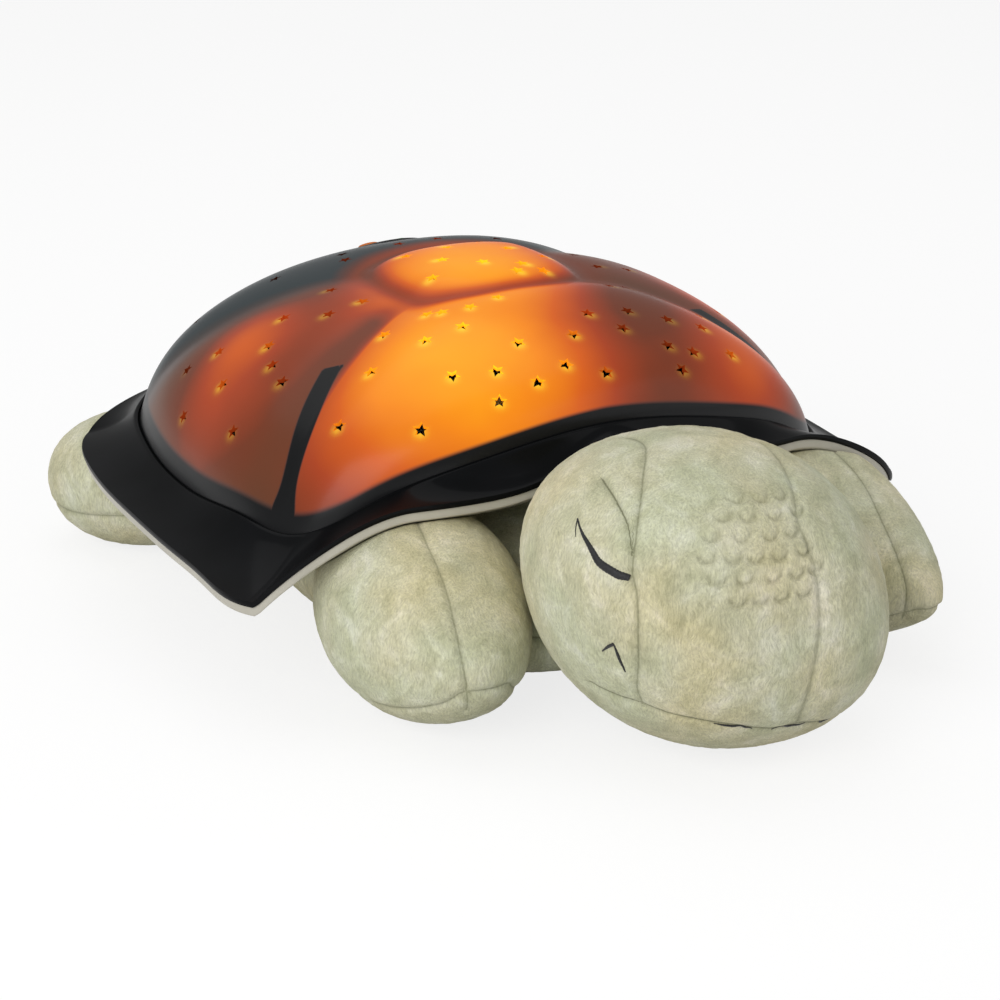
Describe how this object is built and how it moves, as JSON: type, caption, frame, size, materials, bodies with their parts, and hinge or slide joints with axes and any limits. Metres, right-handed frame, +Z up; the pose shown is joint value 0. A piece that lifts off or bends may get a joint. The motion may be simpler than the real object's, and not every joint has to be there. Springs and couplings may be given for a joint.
{
  "type": "star night light projector",
  "caption": "Stuffed turtle night light with a hard domed shell whose star-shaped holes project stars, and a round button panel at the rear of the shell.",
  "frame": {"origin": "middle of the object's footprint, on the table", "axes": "+Y runs from the head to the tail, +Z is up, +X is the turtle's left side"},
  "size_m": [0.292, 0.3765, 0.137],
  "materials": {
    "amber_plastic": "translucent amber, glossy",
    "black_plastic": "glossy black",
    "grey_plastic": "satin light grey",
    "inner_plastic": "matte off-white",
    "panel_plastic": "satin dark grey",
    "door_plastic": "matte sage green",
    "screw_steel": "plated steel",
    "contact_steel": "nickel plated spring steel",
    "cell_jacket": "printed foil jacket",
    "board_green": "solder mask",
    "board_white": "white solder mask",
    "chip_black": "moulded black",
    "reflector_white": "glossy white",
    "lens_amber": "clear amber lens",
    "lens_green": "clear green lens",
    "lens_blue": "clear blue lens",
    "wire_jacket": "soft insulation",
    "lead_jacket": "red insulation",
    "button_white": "satin",
    "button_amber": "satin",
    "button_green": "satin",
    "button_blue": "satin",
    "sage_plush": "short mottled pile"
  },
  "bodies": {
    "turtle": {"shell_dome": "amber_plastic", "shell_skirt": "black_plastic", "lower_shell": "grey_plastic", "shell_screws": "screw_steel", "chassis": "inner_plastic", "chassis_screws": "screw_steel", "battery_1": "cell_jacket", "battery_2": "cell_jacket", "battery_3": "cell_jacket", "battery_contacts": "contact_steel", "battery_leads": "lead_jacket", "timer_board": "board_green", "timer_board_screws": "screw_steel", "timer_chip": "chip_black", "lamp_board": "board_white", "lamp_board_screws": "screw_steel", "led_amber": "lens_amber", "led_green": "lens_green", "led_blue": "lens_blue", "lamp_cup": "reflector_white", "lamp_wires": "wire_jacket", "panel_wires": "wire_jacket", "button_panel": "panel_plastic", "button_board": "board_green", "button_board_screws": "screw_steel", "button_switches": "chip_black", "torso": "sage_plush", "head": "sage_plush", "front_right_paw": "sage_plush", "front_left_paw": "sage_plush", "rear_right_flipper": "sage_plush", "rear_left_flipper": "sage_plush", "tail": "sage_plush"},
    "door": {"battery_door": "door_plastic", "door_screws": "screw_steel"},
    "power_button": {"power_button": "button_white"},
    "amber_button": {"amber_button": "button_amber"},
    "green_button": {"green_button": "button_green"},
    "blue_button": {"blue_button": "button_blue"}
  },
  "joints": [
    {"name": "door_lift_off", "type": "slide", "parent": "turtle", "child": "door", "axis": [0, 0, -1], "range_m": [0, 0.025]},
    {"name": "power_press", "type": "slide", "parent": "turtle", "child": "power_button", "axis": [0, -0.484, -0.8751], "range_m": [0, 0.0012], "stiffness_N_per_m": 800},
    {"name": "amber_press", "type": "slide", "parent": "turtle", "child": "amber_button", "axis": [0, -0.484, -0.8751], "range_m": [0, 0.0012], "stiffness_N_per_m": 800},
    {"name": "green_press", "type": "slide", "parent": "turtle", "child": "green_button", "axis": [0, -0.484, -0.8751], "range_m": [0, 0.0012], "stiffness_N_per_m": 800},
    {"name": "blue_press", "type": "slide", "parent": "turtle", "child": "blue_button", "axis": [0, -0.484, -0.8751], "range_m": [0, 0.0012], "stiffness_N_per_m": 800}
  ]
}
